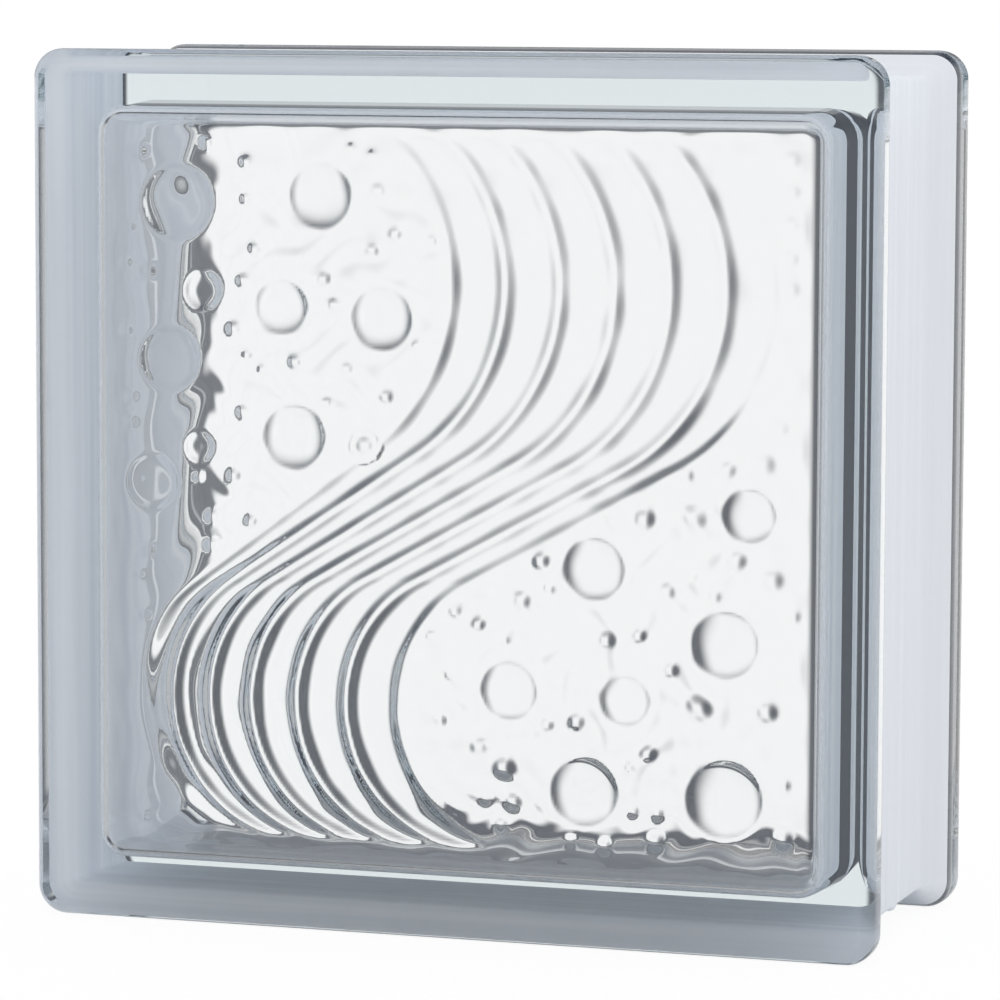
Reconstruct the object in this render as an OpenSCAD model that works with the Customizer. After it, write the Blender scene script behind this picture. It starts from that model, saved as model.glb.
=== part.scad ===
// Hollow glass building block, pressed in two halves that are fused face to face.
// Width runs along X, the front face looks along -Y, and the block stands on its lower lips at Z = 0.

/* [Block] */
// Overall width and height of the square block
block_size = 190; // [180:1:200]
// Overall depth from front face to back face
block_depth = 80; // [76:1:100]
// Radius of the four outer corners, seen from the front
corner_radius = 6.5; // [6:0.5:9]
// Rounding of the edge between each face and its lip
face_edge_radius = 3; // [2:0.5:3.5]

/* [Mortar channel] */
// Depth of the mortar channel below the lips
channel_depth = 5.5; // [4.5:0.5:6]
// Width of the flat on each lip that the block stands on
lip_flat = 3.5; // [2:0.5:5]
// Run of the gentle slope behind the lip
lip_run = 4.5; // [3:0.5:6]
// Fall of the gentle slope behind the lip
lip_fall = 1.5; // [1:0.5:2]
// Run of the steeper slope down to the channel floor
slope_run = 6; // [4:0.5:8]
// Height of the fused seam that stands on the channel floor
seam_height = 0.6; // [0.4:0.2:1]
// Width of the fused seam at its foot
seam_width = 4; // [3:0.5:6]

/* [Cavity] */
// Thickness of each face panel
panel_thickness = 9; // [8:0.5:10]
// Distance from the lips to the cavity wall at the seam
cavity_margin = 11.5; // [11:0.5:13]
// Radius of the cavity corners at the seam
cavity_corner = 7; // [6.5:0.5:9]
// Draft of the cavity wall from seam to panel
cavity_draft = 1; // [0.5:0.5:1.5]
// Fillet between cavity wall and panel
cavity_fillet = 4; // [3:0.5:5]

/* [Wave ribs] */
// Number of wave ribs on the front panel
rib_count = 6; // [3:1:6]
// Rightmost point of the first wave line, in its upper bend
upper_reach = -0.5; // [-2:0.5:2]
// Sideways pitch of the wave lines in their upper bends
upper_pitch = 12.2; // [11.6:0.1:12.4]
// Leftmost point of the last wave line, in its lower bend
lower_reach = -12; // [-14:0.5:-10]
// Sideways pitch of the last wave lines in their lower bends
lower_pitch = 12.6; // [12:0.1:13]
// How much the lower bends close up from one line to the next on its left
lower_closing = 0.42; // [0.38:0.02:0.46]
// Radius of the upper bends
upper_radius = 44; // [42:1:45]
// Radius of the lower bends
lower_radius = 31; // [29:1:32]
// Height of the bends above and below the middle of the block
bend_height = 45.5; // [44.5:0.5:46]
// Sideways width of the groove along each wave line, between two ribs
rib_gap = 1.5; // [1:0.5:2.5]
// Height of the ribs above the inner panel face
rib_height = 1.2; // [0.8:0.2:1.6]
// Distance from the middle of the block to the top and bottom ends of the ribs
rib_end = 74; // [70:0.5:75]

/* [Bubbles] */
// Height of the domed bubbles above the inner panel face
bubble_height = 1.4; // [1:0.2:2]
// Radius factor of the domed bubbles
bubble_scale = 1; // [0.8:0.1:1.1]

/* [Hidden] */
$fn = 64;
half = block_size / 2;
deep = block_depth / 2;
bite = 0.5;
inner = deep - panel_thickness;
lip_end = deep - face_edge_radius - lip_flat;
slope_start = lip_end - lip_run;
floor_start = slope_start - slope_run;
channel_r = corner_radius - channel_depth;
block_run = half - corner_radius;
cavity_run = half - cavity_margin - cavity_corner;
cavity_wall = cavity_corner - cavity_draft;
fillet_y = inner - cavity_fillet;
rib_rise = rib_end - bend_height;
bend_steps = 14;

// Bubbles beside the ribs: place across, place up from the middle, radius
bubbles = [
  [-30, 64, 7.3], [-39, 40, 6.2], [-16, 38, 7.1], [-36, 12, 7.3], [-20, 10.5, 3.8],
  [-63, 62, 8.4], [-65, 28, 7.1], [-69, 1, 6.4], [-57, 43, 4.4], [-58, 9, 3.5],
  [32, -14, 7.0], [61, -29, 7.5], [13, -41, 6.6], [39, -42, 5.7], [30, -62, 7.7],
  [61, -62, 8.6], [66, -1.5, 6]
];

// A section carried round a rounded square: four straight runs, four turned corners and the middle
module round_square(reach, radius) {
  run = reach - radius;
  for (turn = [0, 90, 180, 270]) {
    rotate([0, 0, turn]) {
      translate([run, run, 0]) rotate_extrude(angle = 90) children();
      translate([run, run, 0]) rotate([90, 0, 0]) linear_extrude(height = 2 * run) children();
    }
  }
}

// Section of the block edge, from the corner axis out to the lips
module edge_section() {
  difference() {
    polygon([
      [0, -deep],
      [corner_radius, -deep],
      [corner_radius, -lip_end],
      [corner_radius - lip_fall, -slope_start],
      [channel_r, -floor_start],
      [channel_r, -seam_width / 2],
      [channel_r + seam_height, -seam_width / 6],
      [channel_r + seam_height, seam_width / 6],
      [channel_r, seam_width / 2],
      [channel_r, floor_start],
      [corner_radius - lip_fall, slope_start],
      [corner_radius, lip_end],
      [corner_radius, deep],
      [0, deep]
    ]);
    for (side = [0, 1]) mirror([0, side]) difference() {
      translate([corner_radius - face_edge_radius, deep - face_edge_radius]) square(face_edge_radius + 1);
      translate([corner_radius - face_edge_radius, deep - face_edge_radius]) circle(face_edge_radius);
    }
  }
}

// Section of the cavity edge, widest at the seam, with a fillet at each panel
module cavity_section() {
  difference() {
    polygon([
      [0, -inner],
      [cavity_wall, -inner],
      [cavity_wall, -fillet_y],
      [cavity_corner, 0],
      [cavity_wall, fillet_y],
      [cavity_wall, inner],
      [0, inner]
    ]);
    for (side = [0, 1]) mirror([0, side]) difference() {
      translate([cavity_wall - cavity_fillet, fillet_y]) square(cavity_fillet + 1);
      translate([cavity_wall - cavity_fillet, fillet_y]) circle(cavity_fillet);
    }
  }
}

// The two fused halves without their relief
module plain_block() {
  difference() {
    union() {
      round_square(half, corner_radius) edge_section();
      cube([2 * block_run, 2 * block_run, block_depth], center = true);
    }
    union() {
      round_square(half - cavity_margin, cavity_corner) cavity_section();
      cube([2 * cavity_run, 2 * cavity_run, 2 * inner], center = true);
    }
  }
}

// Points along a bend of the given radius about x, y
function bend(x, y, radius, from, to) = [
  for (i = [0 : bend_steps])
    let (turn = from + (to - from) * i / bend_steps)
    [x + radius * cos(turn), y + radius * sin(turn)]
];

// One wave line moved sideways: a bend to the right above, a bend to the left below, their tangent between
function wave_line(n, aside) =
  let (left = rib_count - n)
  let (upper_x = upper_reach + n * upper_pitch + aside - upper_radius)
  let (lower_x = lower_reach - left * (lower_pitch - left * lower_closing) + aside + lower_radius)
  let (across = lower_x - upper_x)
  let (down = -2 * bend_height)
  let (lean = atan2(down, across) + acos((upper_radius + lower_radius) / norm([across, down])))
  concat(
    bend(upper_x, bend_height, upper_radius, asin(rib_rise / upper_radius), lean),
    bend(lower_x, -bend_height, -lower_radius, lean, asin(rib_rise / lower_radius))
  );

// Plan of one rib, between two neighbouring wave lines
module rib_plan(n) {
  left = wave_line(n, rib_gap / 2);
  right = wave_line(n + 1, -rib_gap / 2);
  last = len(right) - 1;
  polygon(concat(left, [for (i = [0 : last]) right[last - i]]));
}

// One domed bubble of the given radius
module bubble(radius) {
  ball = (radius * radius + bubble_height * bubble_height) / (2 * bubble_height);
  intersection() {
    translate([0, 0, ball - bubble_height]) rotate([90, 0, 0]) sphere(ball);
    translate([0, 0, -bubble_height - bite]) cylinder(r = radius + bite, h = bubble_height + 2 * bite);
  }
}

// Waves and bubbles on the inner face of the front panel
module relief() {
  translate([0, 0, inner]) {
    for (n = [0 : rib_count - 1]) {
      translate([0, 0, -rib_height]) linear_extrude(height = rib_height + bite) rib_plan(n);
    }
    for (b = bubbles) translate([b[0], b[1], 0]) bubble(b[2] * bubble_scale);
  }
}

// The finished block, standing on its lower lips
module glass_block() {
  color([0.78, 0.87, 0.88, 0.4]) translate([0, 0, half]) rotate([90, 0, 0]) {
    plain_block();
    relief();
  }
}

glass_block();
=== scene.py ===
"""Looks of the hollow glass block in the CAD frame: pressed glass with wave flutes and bubbles on the inner
face of the front panel, and a white coating on the mortar channel."""
import math
import bpy
import numpy as np
from mathutils import Matrix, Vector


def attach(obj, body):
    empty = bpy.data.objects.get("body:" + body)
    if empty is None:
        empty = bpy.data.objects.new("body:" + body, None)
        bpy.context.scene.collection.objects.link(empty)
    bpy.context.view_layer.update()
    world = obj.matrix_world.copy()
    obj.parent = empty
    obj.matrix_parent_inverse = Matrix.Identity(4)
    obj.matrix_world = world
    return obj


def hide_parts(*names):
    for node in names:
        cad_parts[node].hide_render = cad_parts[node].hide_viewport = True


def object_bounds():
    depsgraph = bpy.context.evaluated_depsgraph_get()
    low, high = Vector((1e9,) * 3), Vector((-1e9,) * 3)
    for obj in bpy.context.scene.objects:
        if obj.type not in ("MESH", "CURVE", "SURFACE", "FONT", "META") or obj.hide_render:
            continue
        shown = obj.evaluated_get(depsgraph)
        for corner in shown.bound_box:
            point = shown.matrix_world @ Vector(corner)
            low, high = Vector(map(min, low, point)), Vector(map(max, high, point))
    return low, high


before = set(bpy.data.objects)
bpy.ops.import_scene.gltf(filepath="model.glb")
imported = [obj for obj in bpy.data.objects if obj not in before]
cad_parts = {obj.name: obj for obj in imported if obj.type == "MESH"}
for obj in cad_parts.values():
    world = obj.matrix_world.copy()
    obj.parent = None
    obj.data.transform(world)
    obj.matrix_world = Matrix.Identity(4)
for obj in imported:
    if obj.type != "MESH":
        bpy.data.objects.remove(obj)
cad_low, cad_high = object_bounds()

MM = 0.001
VIEW_YAW = math.radians(18.42)
TINT = 8.0
FAR_GREY = 0.5
FLOOR_HALF = 60
FLOOR_WHITE = 0.93

# The photograph's camera: place in millimetres, turns in radians and focal length over sensor width
EYE = (347.07, -1043.83, 207.11)
VIEW_PITCH = math.radians(6.02)
VIEW_ROLL = math.radians(0.203)
SENSOR = 36
FOCAL_RATIO = 5.0224

# Sizes of the block in millimetres, shared with the CAD source
HALF = (cad_high[0] - cad_low[0]) / 2 / MM
DEEP = (cad_high[1] - cad_low[1]) / 2 / MM
CORNER = 6.5
FACE_EDGE = 3.0
LIP_FLAT = 3.5
LIP_RUN = 4.5
LIP_FALL = 1.5
SLOPE_RUN = 6.0
CHANNEL = 5.5
SEAM_HEIGHT = 0.6
SEAM_WIDTH = 4.0
PANEL = 9.0
CAVITY_MARGIN = 11.5
CAVITY_CORNER = 7.0
CAVITY_DRAFT = 1.0
CAVITY_FILLET = 4.0
# The rear face starts with two narrow flat rings, so that its shading stays flat
REAR_INSETS = (0.0, 0.4, 0.8)
# The coating starts at this share of the fall beside the lip
COAT_START = 0.7
# Cells along each side of the grid that carries the relief, and the width over which it fades at the edge
GRID_CELLS = 248
GRID_BORDER = 1.5

# Wave lines on the inner panel face, in millimetres from the middle of the block, as in the part's source
FLUTES = 6
UPPER_REACH = -0.5
UPPER_PITCH = 12.2
LOWER_REACH = -12.0
LOWER_PITCH = 12.6
LOWER_CLOSING = 0.42
BEND_HEIGHT = 45.5
FROM_LEFT = np.arange(FLUTES + 1)
FROM_RIGHT = FLUTES - FROM_LEFT
UPPER = UPPER_REACH + FROM_LEFT * UPPER_PITCH
LOWER = LOWER_REACH - FROM_RIGHT * (LOWER_PITCH - FROM_RIGHT * LOWER_CLOSING)
UPPER_Z = BEND_HEIGHT
LOWER_Z = -BEND_HEIGHT
UPPER_R = 44.0
LOWER_R = 31.0
FLUTE_TOP = 77.0
FLUTE_END = -75.0
FLUTE_RISE = 0.9
FLANK = 2.6
CROWN = 0.085
GROOVE_ROUND = 0.2
FLUTE_FADE = 6
# Softer flutes and dimples towards the upper right
SOFT_LEAST = 0.4
SOFT_MIDDLE = 0.55
SOFT_RUN = 150
# The left flank of the first flute widens downwards from this height
FIRST_SPREAD = 2.5
FIRST_START = -25
FIRST_RUN = 25
# The last flute keeps this share of its height about this level
LAST_SHARE = 0.95
LAST_LEVEL = 10
LAST_RUN = 17

# Bubbles beside the waves, as in the part's source: across, up, radius
DOMES = np.array([
    (-30, 64, 7.3), (-39, 40, 6.2), (-16, 38, 7.1), (-36, 12, 7.3), (-20, 10.5, 3.8), (-63, 62, 8.4),
    (-65, 28, 7.1), (-69, 1, 6.4), (-57, 43, 4.4), (-58, 9, 3.5), (32, -14, 7.0), (61, -29, 7.5),
    (13, -41, 6.6), (39, -42, 5.7), (30, -62, 7.7), (61, -62, 8.6), (66, -1.5, 6)])
DOME_RISE = 0.078
# Dimples that stand out by themselves: upper left, lower right, far right and far left
DIMPLES = [
    (-56, 75, 2), (-47, 71, 2), (-23, 74, 2), (-17, 65, 2.5), (-13, 56, 2), (-45, 52, 2), (-29, 46, 2),
    (-50, 35, 2), (-36, 28, 2), (-24, 27, 2), (-15, 21, 2), (-48, 17, 2), (-20, 10.5, 3), (-50, 3, 2),
    (-55, -6, 2),
    (16, -21, 2.5), (6, -27, 2), (20, -13, 2.5), (35, -29, 2.5), (42, -28, 2), (48, -18, 2.5), (49, -35, 2),
    (28, -47, 2.5), (55, -43, 4), (70, -43, 3), (44, -53, 2.5), (6, -53, 2.5), (12, -58, 3), (14, -65, 2.5),
    (46, -72, 2.5), (74, -70, 2.5), (43, -3, 3), (54, -2, 3.5), (63, -11, 3), (71, -15, 3),
    (72, 17, 3), (69, 9.5, 3), (61, 8, 2.5),
    (-72, 73, 2.5), (-70, 47, 2.5), (-75, 34, 2), (-74, 14, 2), (-70, -14, 2)]
DIMPLE_COLUMN = [(74.5, 46 + 6.8 * step, 2.2) for step in range(5)]
STREWN_SEED = 7
STREWN_DRAWS = 260
STREWN_REACH = 76
STREWN_LEAST = 1.3
STREWN_MOST = 2.1
STREWN_CLEAR = 1.0
DIMPLE_DEEP = 0.3
DIMPLE_MIDDLE = 1.15
DIMPLE_RUN = 110
DIMPLE_LEAST = 0.3
LUMP_HEIGHT = 0.18
PEEL_HEIGHT = 0.4
# The fine swell keeps off the waves, the panel's edges, its left part and the domes
PEEL_ASIDE = 4
PEEL_REACH = 72
PEEL_LEFT = 56
PEEL_RUN = 14
PEEL_DOME = 1.5


def wave_lines(z):
    """Sideways place of every wave line at height z: an arc bulging right above, a straight common
    tangent of the two arcs in the middle, and an arc bulging left below. Returns the places and their
    change with height."""
    cu, cl = UPPER - UPPER_R, LOWER + LOWER_R
    dx, dz = cl - cu, LOWER_Z - UPPER_Z
    far = np.hypot(dx, dz)
    turn = np.arctan2(dz, dx) + np.arccos((UPPER_R + LOWER_R) / far)
    px, pz = cu + UPPER_R * np.cos(turn), UPPER_Z + UPPER_R * np.sin(turn)
    qx, qz = cl - LOWER_R * np.cos(turn), LOWER_Z - LOWER_R * np.sin(turn)
    z = z[..., None]
    above = cu + np.sqrt(np.maximum(UPPER_R ** 2 - (z - UPPER_Z) ** 2, 1.0))
    below = cl - np.sqrt(np.maximum(LOWER_R ** 2 - (z - LOWER_Z) ** 2, 1.0))
    slant = px + (qx - px) * (z - pz) / (qz - pz)
    x = np.where(z > pz, above, np.where(z < qz, below, slant))
    low_rate = np.where(z < qz, -(z - LOWER_Z) / (below - cl), (qx - px) / (qz - pz))
    rate = np.where(z > pz, -(z - UPPER_Z) / (above - cu), low_rate)
    return x, rate


def small_dimples():
    """Every dimple as across, up, radius: those that stand out, and smaller ones strewn by a seeded
    draw, each kept only where it is clear of the waves, the domes and the dimples before it."""
    draw = np.random.default_rng(STREWN_SEED)
    dimples = DIMPLES + DIMPLE_COLUMN
    taken = [tuple(row) for row in DOMES] + dimples
    for _ in range(STREWN_DRAWS):
        x, z = draw.uniform(-STREWN_REACH, STREWN_REACH, 2)
        r = draw.uniform(STREWN_LEAST, STREWN_MOST)
        lines, _ = wave_lines(np.array([z]))
        aside = max(lines[0, 0] - x, x - lines[0, -1])
        clear = min(math.hypot(x - bx, z - bz) - br for bx, bz, br in taken)
        if min(aside, clear) > r + STREWN_CLEAR:
            dimples = dimples + [(x, z, r)]
            taken = taken + [(x, z, r)]
    return dimples


def relief(x, z):
    """Height of the pressed relief over the inner panel face, in millimetres. Between two
    neighbouring wave lines a flute rises from a rounded groove, by a square law over flanks of one
    width, to a slightly crowned top. It is softer towards the upper right, where only the last flute
    keeps its height across the middle, and the left flank of the first flute widens below. Beside the
    waves there are round domes, dimples that are shallower towards the upper right, and a fine swell.
    A faint broad swell covers the whole face. Each swell is a product of two bent sines."""
    lines, rate = wave_lines(z)
    left, right = lines[..., :-1], lines[..., 1:]
    t = (x[..., None] - left) / (right - left)
    true = (right - left) / np.sqrt(1 + ((rate[..., :-1] + rate[..., 1:]) / 2) ** 2)
    top = np.clip((FLUTE_TOP - z) / FLUTE_FADE, 0, 1)
    end = np.clip((z - FLUTE_END) / FLUTE_FADE, 0, 1)
    fade = np.sqrt(top * (2 - top)) * np.sqrt(end * (2 - end))
    inside = (t > 0) & (t < 1)
    lead = t * true / FLANK
    lead[..., 0] = lead[..., 0] / (1 + FIRST_SPREAD * np.clip((FIRST_START - z) / FIRST_RUN, 0, 1))
    near = np.clip(np.minimum(lead, (1 - t) * true / FLANK), 0, 1)
    soft = SOFT_LEAST + (1 - SOFT_LEAST) * np.clip(SOFT_MIDDLE - (x + z) / SOFT_RUN, 0, 1)
    rise = np.repeat(soft[..., None], t.shape[-1], axis=-1)
    rise[..., -1] = np.maximum(soft, LAST_SHARE * np.exp(-((z - LAST_LEVEL) / LAST_RUN) ** 2))
    near = (1 + GROOVE_ROUND) * near ** 2 / (near + GROOVE_ROUND)
    flute = rise * near * (FLUTE_RISE * (2 - near) + CROWN * true * 4 * t * (1 - t))
    h = np.where(inside, flute, 0).sum(-1) * fade
    plain = np.ones_like(x)
    for bx, bz, br in DOMES:
        q = ((x - bx) ** 2 + (z - bz) ** 2) / br ** 2
        plain = plain * np.clip(PEEL_DOME * (q - 1), 0, 1)
        h = np.where(q < 1, 2 * br * DOME_RISE * (1 - q ** 2), h)
    for bx, bz, br in small_dimples():
        q = ((x - bx) ** 2 + (z - bz) ** 2) / br ** 2
        deep = DIMPLE_DEEP * np.clip(DIMPLE_MIDDLE - (bx + bz) / DIMPLE_RUN, DIMPLE_LEAST, 1)
        h = np.where(q < 1, h - deep * br * (1 - q) ** 2, h)
    lump = np.sin(x / 4.1 + 1.3 * np.sin(z / 7.3)) * np.sin(z / 3.7 + 1.6 * np.sin(x / 6.1 + 0.8))
    peel = np.sin(x / 1.9 + 1.7 * np.sin(z / 3.3)) * np.sin(z / 1.8 + 1.5 * np.sin(x / 2.9 + 0.5))
    aside = np.clip(np.maximum(lines[..., 0] - x, x - lines[..., -1]) / PEEL_ASIDE, 0, 1)
    within = np.clip((PEEL_REACH - np.maximum(np.abs(x), np.abs(z))) / PEEL_RUN, 0, 1)
    within = within * np.clip((x + PEEL_LEFT) / PEEL_RUN, 0, 1)
    return h + LUMP_HEIGHT * lump + PEEL_HEIGHT * soft * plain * aside * within * peel


def arc(cx, cy, r, a, b, n):
    """Points on a circular arc of radius r about a centre, from angle a to angle b in degrees."""
    t = np.radians(np.linspace(a, b, n))
    return np.stack([cx + r * np.cos(t), cy + r * np.sin(t)], 1)


def edge_profile():
    """Outer section of the block edge as inset from the lip and depth from the middle, front to back."""
    lip = DEEP - FACE_EDGE - LIP_FLAT
    slope = lip - LIP_RUN
    floor = slope - SLOPE_RUN
    front = np.concatenate([
        [[FACE_EDGE + 0.6, -DEEP], [FACE_EDGE + 0.2, -DEEP]],
        arc(FACE_EDGE, -DEEP + FACE_EDGE, FACE_EDGE, 270, 180, 9),
        [[0, -lip - 0.4], [0.06, -lip + 0.4], [0.45, -lip + 1.8], [LIP_FALL * 0.62, -slope - 1.5],
         [LIP_FALL * 1.05, -slope + 0.1], [LIP_FALL + 1.3, -slope + 1.9], [CHANNEL - 1.2, -floor - 1.6],
         [CHANNEL - 0.4, -floor - 0.4], [CHANNEL - 0.08, -floor + 0.8], [CHANNEL, -floor + 2]]])
    seam = np.array([
        [CHANNEL, -SEAM_WIDTH / 2 - 1], [CHANNEL - 0.05, -SEAM_WIDTH / 2],
        [CHANNEL - SEAM_HEIGHT * 0.8, -SEAM_WIDTH / 5], [CHANNEL - SEAM_HEIGHT, 0]])
    half = np.concatenate([front, seam])
    back = half[:-1][::-1] * np.array([1, -1])
    return np.concatenate([half, back])


def ring(reach, radius, side, turn):
    """Points and outward normals of a rounded square, counter-clockwise seen from the front."""
    run = reach - radius
    a = np.radians(np.linspace(0, 90, turn + 1))
    corner = np.stack([np.cos(a), np.sin(a)], 1)
    s = np.linspace(0, 1, side + 1)[1:-1]
    straight = np.stack([run - 2 * run * s, np.full(len(s), run)], 1)
    p = np.concatenate([run + radius * corner, straight + [0, radius]])
    n = np.concatenate([corner, np.tile([0.0, 1.0], (len(s), 1))])
    turns = ((1, 0), (0, 1), (-1, 0), (0, -1))
    quarter = [np.array([[c, d], [-d, c]]) for c, d in turns]
    return np.concatenate([p @ q for q in quarter]), np.concatenate([n @ q for q in quarter])


def strips(rings, count, first=0):
    """Quads between neighbouring closed rings of count points each."""
    i = np.arange(rings - 1)[:, None] * count + first
    j = np.arange(count)[None, :]
    k = (j + 1) % count
    return np.stack([i + j, i + k, i + count + k, i + count + j], -1).reshape(-1, 4)


def outer_shell():
    """The outside of the block: the edge section carried round the rounded square, with a flat face
    at each end."""
    prof = edge_profile()
    p, n = ring(HALF, CORNER, 24, 12)
    count = len(p)
    xz = p[None] - prof[:, None, :1] * n[None]
    y = np.repeat(prof[:, 1:2], count, 1)
    verts = np.stack([xz[..., 0], y, xz[..., 1] + HALF], -1).reshape(-1, 3)
    quads = strips(len(prof), count)[:, ::-1]
    caps = [list(range(count)), list(range((len(prof) - 1) * count, len(prof) * count))[::-1]]
    depth = np.repeat((prof[:-1, 1] + prof[1:, 1]) / 2, count)
    return verts, quads, caps, depth


def cavity_shell(cells):
    """The inside of the block: a square grid that carries the relief in front, the filleted and
    drafted wall, and the plain rear face as the last ring. Returns vertices, quads and that ring."""
    inner = DEEP - PANEL
    reach = HALF - CAVITY_MARGIN - CAVITY_DRAFT - CAVITY_FILLET
    r = CAVITY_CORNER - CAVITY_DRAFT - CAVITY_FILLET
    u = np.linspace(-reach, reach, cells + 1)
    x, z = np.meshgrid(u, u, indexing="ij")
    ex, ez = np.maximum(np.abs(x) - reach + r, 0) / r, np.maximum(np.abs(z) - reach + r, 0) / r
    gx = np.where((ex > 0) & (ez > 0), np.sign(x) * (reach - r + r * ex * np.sqrt(1 - ez ** 2 / 2)), x)
    gz = np.where((ex > 0) & (ez > 0), np.sign(z) * (reach - r + r * ez * np.sqrt(1 - ex ** 2 / 2)), z)
    border = np.clip((reach - np.maximum(np.abs(gx), np.abs(gz))) / GRID_BORDER, 0, 1)
    front = np.stack([gx, -inner + relief(gx, gz) * border, gz + HALF], -1).reshape(-1, 3)
    m = cells + 1
    i, j = np.meshgrid(np.arange(cells), np.arange(cells), indexing="ij")
    a = (i * m + j).ravel()
    face = np.stack([a, a + 1, a + m + 1, a + m], 1)
    c = np.arange(cells)
    loop = np.concatenate([c * m, cells * m + c, (cells - c) * m + cells, cells - c])
    bx, bz = gx.ravel()[loop], gz.ravel()[loop]
    nx = np.sign(bx) * np.maximum(np.abs(bx) - reach + r, 0)
    nz = np.sign(bz) * np.maximum(np.abs(bz) - reach + r, 0)
    size = np.hypot(nx, nz)
    nx, nz = nx / size, nz / size
    f = arc(0, -inner + CAVITY_FILLET, CAVITY_FILLET, 270, 360, 9)[1:]
    wall = np.concatenate([f, [
        [CAVITY_FILLET + CAVITY_DRAFT * 0.5, -inner / 2 + CAVITY_FILLET / 2],
        [CAVITY_FILLET + CAVITY_DRAFT * 0.96, -0.8],
        [CAVITY_FILLET + CAVITY_DRAFT - 0.5, 0]]])
    wall = np.concatenate([wall, wall[:-1][::-1] * np.array([1, -1])])
    wall_y = np.repeat(wall[:, 1:], len(loop), 1)
    rows = np.stack([bx + wall[:, :1] * nx, wall_y, bz + wall[:, :1] * nz + HALF], -1)
    nf, nl = m * m, len(loop)
    flat_y = np.full_like(bx, inner)
    back = np.concatenate([np.stack([bx - g * nx, flat_y, bz - g * nz + HALF], -1) for g in REAR_INSETS])
    verts = np.concatenate([front, rows.reshape(-1, 3), back])
    base = nf + np.arange(nl)
    first = np.stack([loop, np.roll(loop, -1), np.roll(base, -1), base], 1)
    mid = strips(len(wall), nl, nf)
    top = nf + (len(wall) - 1) * nl + np.arange(nl)
    far = nf + len(wall) * nl + np.arange(nl)
    last = np.stack([top, np.roll(top, -1), np.roll(far, -1), far], 1)
    flat = strips(len(REAR_INSETS), nl, nf + len(wall) * nl)
    cap = far + (len(REAR_INSETS) - 1) * nl
    return verts, np.concatenate([face, first, mid, last, flat]), cap.tolist()


def srgb(code):
    """A hex colour as linear red, green and blue with full alpha."""
    c = [int(code[i:i + 2], 16) / 255 for i in (0, 2, 4)]
    return [v / 12.92 if v <= 0.04045 else ((v + 0.055) / 1.055) ** 2.4 for v in c] + [1]


def add(mat, kind, **values):
    """Adds one node to a material or world and sets its inputs by name."""
    node = mat.node_tree.nodes.new(kind)
    for name, value in values.items():
        node.inputs[name.replace("_", " ")].default_value = value
    return node


def pressed_glass():
    """Clear soda-lime glass, fire-polished, with a faint blue-green tint in its depth. On the mortar
    channel, where the coat attribute is 1, a thin white coating brushed along the channel: matt, and
    it lets some light through."""
    m = bpy.data.materials.new("soda_lime_glass_pressed_edges_coated")
    m.use_nodes = True
    m.node_tree.nodes.clear()
    link = m.node_tree.links.new
    out = add(m, "ShaderNodeOutputMaterial")
    body = add(m, "ShaderNodeBsdfPrincipled", Base_Color=srgb("ffffff"), Roughness=0.0, IOR=1.52,
               Transmission_Weight=1.0)
    depth = add(m, "ShaderNodeVolumeAbsorption", Color=(0.55, 0.66, 0.69, 1), Density=TINT)
    face = add(m, "ShaderNodeBsdfDiffuse", Color=srgb("f2f5fa"))
    through = add(m, "ShaderNodeBsdfTranslucent")
    coat = add(m, "ShaderNodeMixShader", Fac=0.32)
    mask = add(m, "ShaderNodeAttribute")
    mask.attribute_name = "coat"
    mix = add(m, "ShaderNodeMixShader")
    coord = add(m, "ShaderNodeTexCoord")
    long = add(m, "ShaderNodeMapping", Scale=(6, 260, 6))
    streak = add(m, "ShaderNodeTexNoise", Scale=1.0, Detail=2.0)
    tone = add(m, "ShaderNodeMapRange", From_Min=0.3, From_Max=0.7)
    brushed = add(m, "ShaderNodeMixRGB", Color1=srgb("c8d2e2"), Color2=srgb("f4f8ff"))
    link(coord.outputs["Object"], long.inputs["Vector"])
    link(long.outputs["Vector"], streak.inputs["Vector"])
    link(streak.outputs[0], tone.inputs["Value"])
    link(tone.outputs["Result"], brushed.inputs["Fac"])
    link(brushed.outputs[0], through.inputs["Color"])
    link(face.outputs[0], coat.inputs[1])
    link(through.outputs[0], coat.inputs[2])
    link(mask.outputs["Fac"], mix.inputs[0])
    link(body.outputs[0], mix.inputs[1])
    link(coat.outputs[0], mix.inputs[2])
    link(mix.outputs[0], out.inputs["Surface"])
    link(depth.outputs[0], out.inputs["Volume"])
    return m


def build_block():
    """One closed glass piece: the outer shell and the cavity shell with its relief."""
    ov, oq, caps, depth = outer_shell()
    cv, cq, rear = cavity_shell(GRID_CELLS)
    caps.append([i + len(ov) for i in rear])
    verts = np.concatenate([ov, cv]) * MM
    quads = np.concatenate([oq, cq + len(ov)])
    mesh = bpy.data.meshes.new("glass_block_fused")
    mesh.from_pydata(verts.tolist(), [], quads.tolist() + caps)
    mesh.materials.append(pressed_glass())
    coated = np.zeros(len(mesh.polygons), np.float32)
    coated[:len(oq)] = np.abs(depth) < DEEP - FACE_EDGE - LIP_FLAT - LIP_RUN * COAT_START
    mesh.attributes.new("coat", "FLOAT", "FACE").data.foreach_set("value", coated)
    mesh.polygons.foreach_set("use_smooth", np.ones(len(mesh.polygons), bool))
    mesh.update()
    mesh.validate()
    ob = bpy.data.objects.new("glass_block_fused", mesh)
    bpy.context.collection.objects.link(ob)
    return ob


block = build_block()
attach(block, "root")
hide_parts("glass_block")


def fall(mat, value, start, end, low):
    """A smooth fall from 1 at start to low at end."""
    node = add(mat, "ShaderNodeMapRange")
    node.interpolation_type = "SMOOTHSTEP"
    for name, number in (("From Min", start), ("From Max", end), ("To Min", 1.0), ("To Max", low)):
        node.inputs[name].default_value = number
    mat.node_tree.links.new(value, node.inputs["Value"])
    return node.outputs["Result"]


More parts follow.
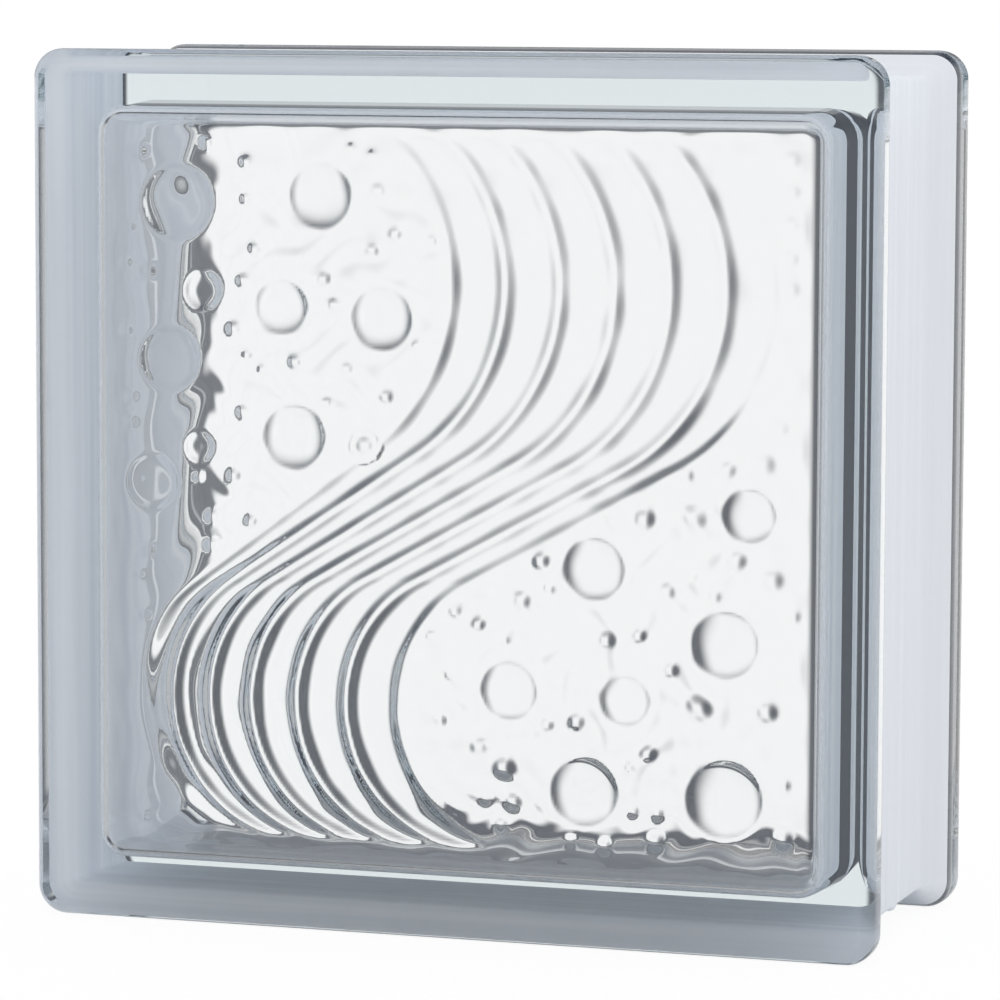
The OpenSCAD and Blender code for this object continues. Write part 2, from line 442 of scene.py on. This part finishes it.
def along(mat, direction, axis):
    """The part of a direction along an axis."""
    node = add(mat, "ShaderNodeVectorMath")
    node.operation = "DOT_PRODUCT"
    node.inputs[1].default_value = axis
    mat.node_tree.links.new(direction, node.inputs[0])
    return node.outputs["Value"]


def backdrop(mat, direction):
    """Brightness of what is seen through the glass by direction: white straight behind the block as
    the camera looks, dark to both sides, above and below, and grey far round and in front."""
    across = along(mat, direction, (math.cos(VIEW_YAW), math.sin(VIEW_YAW), 0))
    ahead = along(mat, direction, (-math.sin(VIEW_YAW), math.cos(VIEW_YAW), 0))
    up = along(mat, direction, (0, 0, 1))
    to_right = fall(mat, across, 0.07, 0.24, 0.04)
    to_left = fall(mat, across, -0.13, -0.42, 0.1)
    wide = math_node(mat, "MULTIPLY", to_right, to_left)
    to_top = fall(mat, up, -0.04, 0.24, 0.12)
    to_foot = fall(mat, up, -0.3, -0.55, 0.05)
    high = math_node(mat, "MULTIPLY", to_top, to_foot)
    far_right = fall(mat, across, 0.85, 0.6, 0.0)
    far_left = fall(mat, across, -0.9, -0.65, 0.0)
    sides = math_node(mat, "MAXIMUM", far_right, far_left)
    in_front = fall(mat, ahead, -0.6, -0.3, 0.0)
    far_down = fall(mat, up, -0.95, -0.75, 0.0)
    ends = math_node(mat, "MAXIMUM", in_front, far_down)
    far = math_node(mat, "MULTIPLY", math_node(mat, "MAXIMUM", sides, ends), FAR_GREY)
    return math_node(mat, "MAXIMUM", math_node(mat, "MULTIPLY", wide, high), far)


def math_node(mat, kind, one, two):
    """Joins two values by a math node of the given kind."""
    node = add(mat, "ShaderNodeMath")
    node.operation = kind
    for socket, value in zip(node.inputs, (one, two)):
        if isinstance(value, float):
            socket.default_value = value
        else:
            mat.node_tree.links.new(value, socket)
    return node.outputs[0]


def unscattered(mat, ray, path):
    """The given kind of ray, left out once a matt surface has scattered it."""
    once = math_node(mat, "SUBTRACT", ray, path.outputs["Diffuse Depth"])
    return math_node(mat, "SUBTRACT", once, path.outputs["Is Diffuse Ray"])


def build_stage():
    """A pale floor and a soft white surround. What is seen through the glass is white straight behind
    the block and falls to dark beside it, like a lit backdrop of limited width in a dim room."""
    mesh = bpy.data.meshes.new("floor")
    corners = [(x * FLOOR_HALF, y * FLOOR_HALF, 0) for x, y in ((-1, -1), (1, -1), (1, 1), (-1, 1))]
    mesh.from_pydata(corners, [], [(0, 1, 2, 3)])
    floor = bpy.data.objects.new("floor", mesh)
    bpy.context.collection.objects.link(floor)
    m = bpy.data.materials.new("floor_white_paper")
    m.use_nodes = True
    m.node_tree.nodes.clear()
    link = m.node_tree.links.new
    out = add(m, "ShaderNodeOutputMaterial")
    paper = add(m, "ShaderNodeBsdfDiffuse", Color=srgb("f4f4f4"))
    glow = add(m, "ShaderNodeEmission", Strength=1.0)
    open_way = add(m, "ShaderNodeBsdfTransparent")
    path = add(m, "ShaderNodeLightPath")
    white = add(m, "ShaderNodeMixShader")
    mix = add(m, "ShaderNodeMixShader")
    link(math_node(m, "MULTIPLY", path.outputs["Is Camera Ray"], FLOOR_WHITE), white.inputs[0])
    link(paper.outputs[0], white.inputs[1])
    link(glow.outputs[0], white.inputs[2])
    link(unscattered(m, path.outputs["Is Transmission Ray"], path), mix.inputs[0])
    link(white.outputs[0], mix.inputs[1])
    link(open_way.outputs[0], mix.inputs[2])
    link(mix.outputs[0], out.inputs["Surface"])
    mesh.materials.append(m)

    world = bpy.data.worlds.new("studio")
    bpy.context.scene.world = world
    world.use_nodes = True
    world.node_tree.nodes.clear()
    link = world.node_tree.links.new
    out = add(world, "ShaderNodeOutputWorld")
    coord = add(world, "ShaderNodeTexCoord")
    path = add(world, "ShaderNodeLightPath")
    soft = add(world, "ShaderNodeBackground", Color=(1, 1, 1, 1), Strength=1.2)
    seen = add(world, "ShaderNodeBackground")
    mix = add(world, "ShaderNodeMixShader")
    tone = add(world, "ShaderNodeMixRGB", Color1=srgb("2c3340"), Color2=srgb("ffffff"))
    link(backdrop(world, coord.outputs["Generated"]), tone.inputs["Fac"])
    link(tone.outputs[0], seen.inputs["Color"])
    mirror = math_node(world, "MAXIMUM", path.outputs["Is Transmission Ray"], path.outputs["Is Glossy Ray"])
    link(unscattered(world, mirror, path), mix.inputs[0])
    link(soft.outputs[0], mix.inputs[1])
    link(seen.outputs[0], mix.inputs[2])
    link(mix.outputs[0], out.inputs["Surface"])


def build_camera():
    """The photograph's camera: a long lens to the right of and a little above the block."""
    eye = [place * MM for place in EYE]
    right = np.array([math.cos(VIEW_YAW), math.sin(VIEW_YAW), 0])
    ahead = np.array([-math.sin(VIEW_YAW), math.cos(VIEW_YAW), 0])
    up = np.array([0, 0, 1.0])
    look = ahead * math.cos(VIEW_PITCH) - up * math.sin(VIEW_PITCH)
    over = up * math.cos(VIEW_PITCH) + ahead * math.sin(VIEW_PITCH)
    side = right * math.cos(VIEW_ROLL) + over * math.sin(VIEW_ROLL)
    over = over * math.cos(VIEW_ROLL) - right * math.sin(VIEW_ROLL)
    cam = bpy.data.cameras.new("camera")
    cam.sensor_width = SENSOR
    cam.lens = SENSOR * FOCAL_RATIO
    cam.clip_start, cam.clip_end = 0.05, 50
    ob = bpy.data.objects.new("camera", cam)
    ob.matrix_world = Matrix([[side[i], over[i], -look[i], eye[i]] for i in range(3)] + [[0, 0, 0, 1]])
    bpy.context.collection.objects.link(ob)
    bpy.context.scene.camera = ob


build_stage()
build_camera()
scene = bpy.context.scene
scene.view_settings.view_transform = "Standard"
scene.cycles.max_bounces = 18
scene.cycles.diffuse_bounces = 6
scene.cycles.glossy_bounces = 12
scene.cycles.transmission_bounces = 18
scene.cycles.transparent_max_bounces = 16
